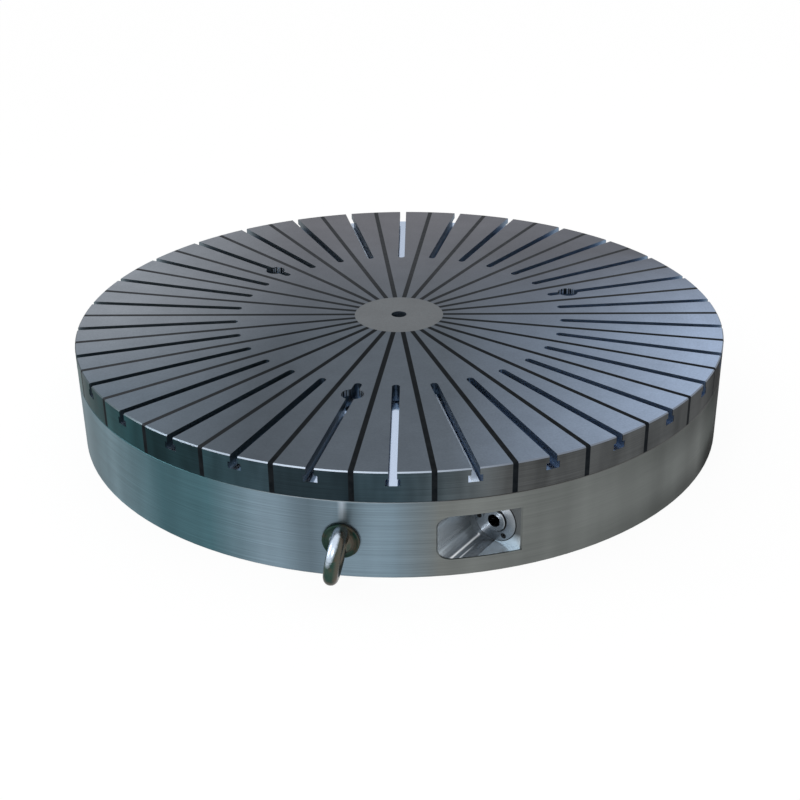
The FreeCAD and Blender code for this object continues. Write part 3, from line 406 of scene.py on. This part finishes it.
def turned_colour(nodes, at, streak, fine):
    """Turned outside of the base, with painted reflections: teal at the left, blue grey in the middle, grey
    at the right.
    """
    left = nodes.mix(nodes.span(at.x, -0.80 * RADIUS, -0.63 * RADIUS),
                     rgb(0.165, 0.240, 0.276), rgb(0.062, 0.132, 0.156))
    colours = (left, rgb(0.180, 0.250, 0.302), rgb(0.149, 0.160, 0.155))
    tint = painted_side_light(nodes, at.x, colours, (-0.49, -0.34, 0.0, 0.12))

    # Painted shade towards the foot and the plate, on the right only.
    foot = nodes.span(at.z, 0.015, 0.055, 0.54, 1.0)
    shoulder = nodes.span(at.z, 0.088, 0.13, 1.0, 0.66)
    level = nodes.blend(nodes.span(at.x, 0.25, 0.52), 1.0, nodes.product(foot, shoulder))
    # Painted shade at the right end, deepest near the foot.
    low_end = nodes.span(at.z, 0.03, 0.065, 0.60, 1.0)
    low_end = nodes.blend(nodes.span(at.x, 0.88 * RADIUS, 0.92 * RADIUS), 1.0, low_end)
    end = nodes.span(at.x, 0.93 * RADIUS, 0.97 * RADIUS, 1.0, 0.7)

    # A painted highlight and a painted shade, as a pale and a dull upright band to the left of the eye.
    pale_angle = place_angle(251.0)
    dull_angle = place_angle(257.5)
    pale = nodes.span(nodes.distance(at.angle, pale_angle), 0.0, math.radians(4.5), 1.02, 1.0)
    dull = nodes.span(nodes.distance(at.angle, dull_angle), 0.0, math.radians(3.5), 0.74, 1.0)

    strong = nodes.span(streak, 0.25, 0.75, 0.72, 1.30)
    calm = nodes.span(streak, 0.25, 0.75, 0.88, 1.13)
    lines = nodes.blend(nodes.span(at.x, 0.05, 0.30), strong, calm)
    band = nodes.grain((at.angle, 7.0), None, (at.z, 1.5), detail=2.0)
    cloud = nodes.noise(at.position, 6.0, 3.0)
    turned = shaded(nodes, tint, lines, nodes.around(fine, 0.14), nodes.span(band, *NOISE_SPAN, 0.84, 1.16),
                    nodes.around(cloud, 0.12), level, low_end, end, pale, dull)

    # Painted reflection of the eye, as light on the base above it.
    glint_angle = place_angle(EYE_DEGREES + 0.3)
    glint = nodes.span(nodes.distance(at.angle, glint_angle), math.radians(0.8), 0.0)
    glint = nodes.product(glint, nodes.span(at.z, 0.098, 0.112), 0.8)
    return nodes.mix(glint, turned, rgb(0.55, 0.62, 0.70))


def pocket_streaks(nodes, drive, outside):
    """Painted highlights: a long and a short streak of light on the pocket's floor."""
    long_side = -0.031
    short_side = -0.0205
    short_strength = 0.7
    floor = nodes.span(drive.rise, -0.036, -0.038)
    long_streak = nodes.product(nodes.span(nodes.distance(drive.side, long_side), 0.0030, 0.0006), floor)
    short_streak = nodes.product(nodes.span(nodes.distance(drive.side, short_side), 0.0018, 0.0004), floor,
                                 nodes.span(drive.along, -0.405, -0.43), short_strength)
    return nodes.product(nodes.math("MAXIMUM", long_streak, short_streak), nodes.inverse(outside))


def pocket_colour(nodes, drive, mill, streaks):
    """Milled walls and floor, with painted light on the left wall and painted shade towards the flange;
    beyond the flange, painted shade above and a painted highlight in the low corner.
    """
    # The left wall is lighter as painted light, and the pocket darkens inwards as painted shade.
    wall = nodes.span(drive.side, -0.026, -0.062)
    inward = nodes.span(drive.along, -0.425, -0.385, 1.0, 0.55)
    milled = shaded(nodes, nodes.mix(wall, rgb(0.38, 0.43, 0.48), rgb(0.50, 0.55, 0.58)),
                    nodes.span(mill, *NOISE_SPAN, 0.82, 1.14), inward)
    # Beyond the flange: painted shade, with a painted highlight in the low corner.
    beyond = nodes.product(nodes.span(drive.reach, FLANGE_RADIUS, FLANGE_RADIUS + 0.0005),
                           nodes.span(drive.side, 0.0, 0.001))
    corner = nodes.span(drive.rise, -0.014, -0.030)
    far_wall = nodes.mix(corner, rgb(0.100, 0.110, 0.115), rgb(0.66, 0.76, 0.84))
    return nodes.mix(streaks, nodes.mix(beyond, milled, far_wall), rgb(0.95, 0.97, 1.0))


def base_steel():
    """Turned outside with fine level streaks; milled pocket surfaces."""
    material, nodes, shader = new_material("cast_steel", 0.95, 0.38, 0.55)
    at = nodes.place()
    drive = nodes.drive_place(at)
    outside = nodes.span(at.radius, RADIUS - 0.0035, RADIUS - 0.0025)
    streak = nodes.grain((at.angle, 2.2), None, (at.z, 420.0), detail=5.0, roughness=0.7)
    fine = nodes.grain((at.angle, 9.0), None, (at.z, 1500.0), detail=2.0)
    mill = nodes.grain((drive.side, 240.0), (drive.rise, 240.0), (drive.along, 5.0))
    streaks = pocket_streaks(nodes, drive, outside)

    # Painted highlight along the base's chamfer, brightest in the middle.
    chamfer_light = (rgb(0.040, 0.090, 0.105), rgb(0.230, 0.270, 0.300), rgb(0.100, 0.100, 0.098))
    colour = nodes.mix(outside, pocket_colour(nodes, drive, mill, streaks),
                       turned_colour(nodes, at, streak, fine))
    chamfer = nodes.product(chamfer_mask(nodes, nodes.facing_up()), outside)
    colour = nodes.mix(chamfer, colour, painted_side_light(nodes, at.x, chamfer_light, (-0.50, -0.25, 0.02, 0.15)))
    nodes.link(colour, shader.inputs["Base Color"])

    nodes.link(nodes.blend(outside, nodes.blend(streaks, 0.72, 0.0), 0.95), shader.inputs["Metallic"])
    roughness = nodes.blend(outside, 0.26, nodes.span(streak, *NOISE_SPAN, 0.30, 0.46))
    nodes.link(roughness, shader.inputs["Roughness"])
    relief = nodes.math("ADD", nodes.math("MULTIPLY", streak, 0.6), nodes.math("MULTIPLY", fine, 0.4))
    relief = nodes.blend(outside, nodes.math("MULTIPLY", mill, 0.4), relief)
    nodes.link(nodes.bump(relief, 0.14, 0.0005), shader.inputs["Normal"])
    set_edge(nodes, shader, soft_edge(nodes, at.x))
    radial_tangent(nodes, shader)
    return material


# Other metals and rubber

def bright_steel():
    """Machined steel. Round the drive line its faces are turned, with a painted highlight in a fan, painted
    shade in the key socket and a painted shadow ring at the flange's rim.
    """
    material, nodes, shader = new_material("bright_steel", 0.95, 0.22)
    at = nodes.place()
    drive = nodes.drive_place(at)
    # Painted highlight: a fan of light on the turned faces.
    fan_angle = math.radians(52)
    turn = nodes.math("ARCTAN2", drive.rise, drive.side)
    fan = nodes.math("COSINE", nodes.math("MULTIPLY", nodes.math("SUBTRACT", turn, fan_angle), 2.0))
    fan = nodes.math("POWER", nodes.math("MAXIMUM", fan, 0.0), 6.0)
    groove = nodes.grain((drive.reach, 1400.0), (turn, 0.6), None)
    mottle = nodes.noise(at.position, 40.0, 4.0)

    colour = nodes.mix(mottle, rgb(0.22, 0.25, 0.28), rgb(0.30, 0.33, 0.36))
    colour = nodes.mix(nodes.product(fan, 0.75), colour, rgb(0.62, 0.66, 0.72))
    # Painted shade inside the key socket.
    in_key = nodes.span(drive.reach, KEY_REACH + 0.001, KEY_REACH, 1.0, 0.06)
    colour = shaded(nodes, colour, nodes.around(groove, 0.07), in_key)
    # Painted shadow in a thin ring at the flange's rim.
    near_rim = nodes.product(nodes.span(drive.reach, FLANGE_RADIUS - 0.0011, FLANGE_RADIUS - 0.0008),
                             nodes.span(drive.reach, FLANGE_RADIUS + 0.004, FLANGE_RADIUS + 0.003))
    nodes.link(nodes.mix(near_rim, colour, rgb(0.015, 0.016, 0.018)), shader.inputs["Base Color"])
    nodes.link(nodes.span(mottle, *NOISE_SPAN, 0.14, 0.28), shader.inputs["Roughness"])
    nodes.link(nodes.bump(groove, 0.03, 0.0004), shader.inputs["Normal"])
    return material


def plain_metal(name, low, high, roughness, metallic=0.9):
    """Metal with mottled colour and roughness, for the small pieces."""
    material, nodes, shader = new_material(name, metallic, roughness)
    scale = 40.0
    spread = 0.1
    position = nodes.add("ShaderNodeTexCoord").outputs["Object"]
    mottle = nodes.noise(position, scale, 5.0, 0.6)
    nodes.link(nodes.mix(nodes.span(mottle, *NOISE_SPAN), low, high), shader.inputs["Base Color"])
    mottled = nodes.span(mottle, 0.25, 0.75, roughness - spread, roughness + spread)
    nodes.link(mottled, shader.inputs["Roughness"])
    nodes.link(nodes.bump(nodes.noise(position, scale * 8.0), 0.1, 0.0005), shader.inputs["Normal"])
    return material


def strip_metal():
    """Dark separator metal, a little paler at the left and the back."""
    material, nodes, shader = new_material("strip_brass", 1.0, 0.6)
    at = nodes.place()
    mottle = nodes.noise(at.position, 70.0, 5.0, 0.6)
    colour = nodes.mix(nodes.span(mottle, *NOISE_SPAN), rgb(0.004, 0.006, 0.008), rgb(0.016, 0.019, 0.022))
    pale = nodes.math("MAXIMUM", nodes.span(at.y, -0.10, 0.25), nodes.span(at.x, -0.20, -0.45))
    pale = nodes.product(pale, nodes.span(at.z, PLATE_TOP - 0.002, PLATE_TOP - 0.001), 0.85)
    colour = nodes.mix(pale, colour, rgb(0.050, 0.054, 0.060))
    nodes.link(colour, shader.inputs["Base Color"])
    nodes.link(nodes.span(mottle, 0.25, 0.75, 0.5, 0.7), shader.inputs["Roughness"])
    nodes.link(nodes.bump(nodes.noise(at.position, 560.0), 0.1, 0.0005), shader.inputs["Normal"])
    return material


def set_material(node, material):
    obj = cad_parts[node]
    for slot in obj.material_slots:
        slot.material = material


def dress_nodes():
    """One procedural material for every node that stays."""
    pole = pole_steel()
    bright = bright_steel()
    black = plain_metal("black_steel", rgb(0.012, 0.013, 0.014), rgb(0.04, 0.042, 0.045), 0.42, metallic=0.6)
    bronze = plain_metal("bronze", rgb(0.42, 0.27, 0.12), rgb(0.58, 0.40, 0.20), 0.3)
    strip = strip_metal()
    carrier = plain_metal("carrier_aluminium", rgb(0.5, 0.51, 0.52), rgb(0.66, 0.67, 0.68), 0.3)
    magnet = plain_metal("magnet", rgb(0.05, 0.05, 0.055), rgb(0.11, 0.11, 0.12), 0.5, metallic=0.5)
    rubber = plain_metal("seal_rubber", rgb(0.012, 0.012, 0.013), rgb(0.03, 0.03, 0.03), 0.6, metallic=0.0)
    by_material = {
        pole: ("north_poles", "south_poles", "hub_disc", "rotor_poles"),
        base_steel(): ("base_body",),
        strip: ("separator_strips",),
        bright: ("plate_dowels", "rotor_inner_band", "rotor_outer_band", "drive_screw", "front_bush",
                 "pin_sleeve"),
        black: ("rim_screws", "boss_screws", "hub_screws", "rotor_screws", "flange_screws"),
        bronze: ("thrust_ring", "rotor_bush", "thrust_washer", "rear_bush", "drive_nut"),
        carrier: ("rotor_carrier",),
        magnet: ("rotor_magnets",),
        rubber: ("plate_seal", "shaft_seal"),
    }
    for material, names in by_material.items():
        for name in names:
            set_material(name, material)


# Lifting eyes. Heights are from the seat.
EYE_BAR = 0.012
EYE_RING = 0.0355
EYE_RING_SINK = 0.0125
EYE_COLLAR_TOP = 0.008
EYE_NECK_TOP = 0.012
# Fineness of the eye's final mesh, and how far it is smoothed.
EYE_VOXEL = 0.0011
EYE_SMOOTHING = 0.5
EYE_SMOOTH_STEPS = 6


def lathe(outline, steps=72):
    """Mesh turned about Z from radius and height pairs."""
    mesh = bmesh.new()
    rings = []
    for step in range(steps):
        angle = 2 * math.pi * step / steps
        ring = [mesh.verts.new((r * math.cos(angle), r * math.sin(angle), h)) for r, h in outline]
        rings.append(ring)
    for step in range(steps):
        here = rings[step]
        after = rings[(step + 1) % steps]
        for i in range(len(outline) - 1):
            mesh.faces.new((here[i], after[i], after[i + 1], here[i + 1]))
    bmesh.ops.remove_doubles(mesh, verts=mesh.verts, dist=1e-6)
    bmesh.ops.recalc_face_normals(mesh, faces=mesh.faces)
    return mesh


def eye_material():
    """Forged steel, dark olive with brown oxide, with a painted highlight on the ring's crown and a painted
    brown reflection on faces turned to the right.
    """
    material, nodes, shader = new_material("forged_steel", 0.9, 0.3)
    at = nodes.place()
    normal = nodes.normal()
    patch = nodes.noise(at.position, 30.0, 5.0, 0.65)
    grain = nodes.noise(at.position, 220.0, 4.0)
    oxide = nodes.span(nodes.noise(at.position, 55.0), 0.48, 0.62, 0.0, 0.75)
    dark = nodes.mix(nodes.span(patch, 0.35, 0.65), rgb(0.010, 0.042, 0.034), rgb(0.038, 0.068, 0.054))
    colour = nodes.mix(oxide, dark, rgb(0.085, 0.062, 0.044))
    # Painted reflection: a brown tint on faces turned to the right.
    brown = nodes.product(nodes.span(nodes.parts(normal)[0], 0.15, 0.60), 0.6)
    colour = nodes.mix(brown, colour, rgb(0.125, 0.100, 0.082))

    # Painted highlight on the ring's faces that turn up, left and to the front.
    facing = nodes.add("ShaderNodeVectorMath", operation="DOT_PRODUCT")
    nodes.link(normal, facing.inputs[0])
    facing.inputs[1].default_value = HIGHLIGHT_SIDE
    crown_highlight = nodes.math("ADD", facing.outputs["Value"], nodes.span(grain, *NOISE_SPAN, -0.04, 0.04))
    collar_end = RADIUS + 0.0105
    collar = nodes.span(at.radius, collar_end + 0.002, collar_end)
    crown_highlight = nodes.product(nodes.span(crown_highlight, 0.67, 0.88), nodes.inverse(collar))
    colour = shaded(nodes, colour, nodes.blend(collar, 1.0, 0.75))
    nodes.link(nodes.mix(crown_highlight, colour, rgb(0.58, 0.68, 0.80)), shader.inputs["Base Color"])
    roughness = nodes.blend(collar, nodes.span(patch, *NOISE_SPAN, 0.16, 0.34), 0.5)
    nodes.link(roughness, shader.inputs["Roughness"])
    nodes.link(nodes.bump(grain, 0.22, 0.0008), shader.inputs["Normal"])
    return material


def eye_shank():
    """Turned part of the eye: shank, stepped and grooved collar, and neck."""
    shank = 0.012
    shank_length = 0.040
    tip = 0.002
    collar = 0.031
    edge = 0.0015
    groove = 0.0255
    groove_depth = 0.001
    neck_foot = 0.022
    neck_flare = 0.0205
    neck = 0.0175
    crown = EYE_NECK_TOP + 0.004
    return lathe([(0.0, -shank_length), (shank - tip, -shank_length), (shank, tip - shank_length),
                  (shank, 0.0), (collar - edge, 0.0), (collar, edge),
                  (collar, EYE_COLLAR_TOP - edge), (collar - edge, EYE_COLLAR_TOP),
                  (groove + groove_depth, EYE_COLLAR_TOP), (groove, EYE_COLLAR_TOP - groove_depth),
                  (groove - groove_depth, EYE_COLLAR_TOP), (neck_foot, EYE_COLLAR_TOP),
                  (neck_flare, EYE_NECK_TOP - 0.002), (neck, EYE_NECK_TOP + 0.001),
                  (shank, crown), (0.0, crown)])


def lifting_eye(name, angle, material):
    """Forged eye: turned shank, stepped collar and neck, and a ring that flows into the neck."""
    turned = eye_shank()
    mesh = bpy.data.meshes.new(name)
    turned.to_mesh(mesh)
    turned.free()
    body = bpy.data.objects.new(name, mesh)
    bpy.context.scene.collection.objects.link(body)
    centre = EYE_NECK_TOP + EYE_RING + EYE_BAR - EYE_RING_SINK
    bpy.ops.mesh.primitive_torus_add(major_radius=EYE_RING, minor_radius=EYE_BAR, major_segments=96,
                                     minor_segments=32, location=(0, 0, centre),
                                     rotation=(math.pi / 2, 0, -EYE_TILT))
    ring = bpy.context.object
    union = body.modifiers.new("union", "BOOLEAN")
    union.operation = "UNION"
    union.object = ring
    remesh = body.modifiers.new("remesh", "REMESH")
    remesh.mode = "VOXEL"
    remesh.voxel_size = EYE_VOXEL
    remesh.use_smooth_shade = True
    smooth = body.modifiers.new("smooth", "SMOOTH")
    smooth.factor = EYE_SMOOTHING
    smooth.iterations = EYE_SMOOTH_STEPS
    depsgraph = bpy.context.evaluated_depsgraph_get()
    final = bpy.data.meshes.new_from_object(body.evaluated_get(depsgraph))
    body.modifiers.clear()
    body.data = final
    bpy.data.objects.remove(ring)
    body.data.materials.clear()
    body.data.materials.append(material)
    turn = Matrix.Rotation(angle, 4, "Z") @ Matrix.Rotation(math.pi / 2, 4, "Y")
    seat = Vector((EYE_SEAT * math.cos(angle), EYE_SEAT * math.sin(angle), EYE_HEIGHT))
    body.data.transform(Matrix.Translation(seat) @ turn)
    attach(body, "chuck")
    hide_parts("eye_bolts")
    return body


# Camera: fitted to the photograph. Distances are in chuck radii.
CAMERA_ANGLE = math.radians(271.2)
CAMERA_ELEVATION = 0.4025
CAMERA_DISTANCE = 4.1805
CAMERA_PITCH = 0.4673
CAMERA_ROLL = -0.0124
FOCAL_PIXELS = 1322.62
IMAGE_SIZE = 800
SENSOR = 36.0


def add_camera():
    data = bpy.data.cameras.new("camera")
    data.sensor_width = SENSOR
    data.lens = FOCAL_PIXELS / IMAGE_SIZE * SENSOR
    camera = bpy.data.objects.new("camera", data)
    bpy.context.scene.collection.objects.link(camera)
    level = CAMERA_DISTANCE * math.cos(CAMERA_ELEVATION) * RADIUS
    height = PLATE_TOP + CAMERA_DISTANCE * math.sin(CAMERA_ELEVATION) * RADIUS
    place = Vector((level * math.cos(CAMERA_ANGLE), level * math.sin(CAMERA_ANGLE), height))
    ahead = CAMERA_ANGLE + math.pi
    forward = Vector((math.cos(ahead) * math.cos(CAMERA_PITCH), math.sin(ahead) * math.cos(CAMERA_PITCH),
                      -math.sin(CAMERA_PITCH)))
    right = Vector((math.sin(ahead), -math.cos(ahead), 0))
    upward = right.cross(forward)
    image_right = math.cos(CAMERA_ROLL) * right + math.sin(CAMERA_ROLL) * upward
    image_up = -math.sin(CAMERA_ROLL) * right + math.cos(CAMERA_ROLL) * upward
    turn = Matrix((image_right, image_up, -forward)).transposed().to_4x4()
    camera.matrix_world = Matrix.Translation(place) @ turn
    bpy.context.scene.camera = camera


# Floor, world and lamps. A surface that shows white to the camera glows with a strength of 1.
FLOOR_RADIUS = 30.0
FLOOR_DROP = 0.0005
FLOOR_TONE = 0.95
FLOOR_WHITE_SHARE = 0.93


def add_floor():
    """Pale floor that shows white to the camera and keeps the chuck's shadow."""
    mesh = bmesh.new()
    bmesh.ops.create_circle(mesh, cap_ends=True, radius=FLOOR_RADIUS, segments=96)
    data = bpy.data.meshes.new("floor")
    mesh.to_mesh(data)
    mesh.free()
    floor = bpy.data.objects.new("floor", data)
    floor.location.z = -FLOOR_DROP
    bpy.context.scene.collection.objects.link(floor)
    material = bpy.data.materials.new("floor")
    material.use_nodes = True
    nodes = Nodes(material.node_tree)
    shader = material.node_tree.nodes["Principled BSDF"]
    shader.inputs["Base Color"].default_value = rgb(FLOOR_TONE, FLOOR_TONE, FLOOR_TONE)
    shader.inputs["Roughness"].default_value = 0.9
    glow = nodes.add("ShaderNodeEmission")
    glow.inputs["Strength"].default_value = 1.0
    blend = nodes.add("ShaderNodeMixShader")
    path = nodes.add("ShaderNodeLightPath")
    seen = nodes.math("MAXIMUM", path.outputs["Is Camera Ray"], path.outputs["Is Glossy Ray"])
    seen = nodes.math("MAXIMUM", seen, path.outputs["Is Transmission Ray"])
    nodes.link(nodes.math("MULTIPLY", seen, FLOOR_WHITE_SHARE), blend.inputs[0])
    nodes.link(shader.outputs[0], blend.inputs[1])
    nodes.link(glow.outputs[0], blend.inputs[2])
    output = material.node_tree.nodes["Material Output"]
    nodes.link(blend.outputs[0], output.inputs["Surface"])
    data.materials.append(material)


def add_world():
    """Plain white all round, as the photograph's background."""
    world = bpy.data.worlds.new("studio")
    bpy.context.scene.world = world
    world.use_nodes = True
    background = world.node_tree.nodes["Background"]
    background.inputs["Color"].default_value = rgb(1.0, 1.0, 1.0)
    background.inputs["Strength"].default_value = 1.0


def add_lamp(name, place, aim, size, power, colour):
    data = bpy.data.lights.new(name, "AREA")
    data.shape = "RECTANGLE"
    data.size = size[0]
    data.size_y = size[1]
    data.energy = power
    data.color = colour
    lamp = bpy.data.objects.new(name, data)
    lamp.location = place
    heading = Vector(aim) - Vector(place)
    lamp.rotation_euler = heading.to_track_quat("-Z", "Y").to_euler()
    bpy.context.scene.collection.objects.link(lamp)


def add_lights():
    """Soft lamps, each with its place, aim, size, power and colour."""
    add_lamp("key", (-1.04, -2.46, 2.07), (0.19, -0.6, 0.07), (0.45, 0.45), 11, (1.0, 1.0, 1.0))
    add_lamp("left_strip", (-2.7, -0.4, 1.15), (-0.08, -0.66, 0.08), (0.5, 1.1), 16, (0.93, 0.97, 1.0))
    add_lamp("right", (2.4, 1.6, 1.6), (0.2, 0, 0.2), (1.0, 1.6), 10, (0.86, 0.93, 1.0))


dress_nodes()
forged = eye_material()
lifting_eye("front_lifting_eye", EYE_ANGLE, forged)
lifting_eye("rear_lifting_eye", EYE_ANGLE + math.pi, forged)
add_camera()
add_floor()
add_world()
add_lights()
bpy.context.scene.view_settings.view_transform = "Standard"
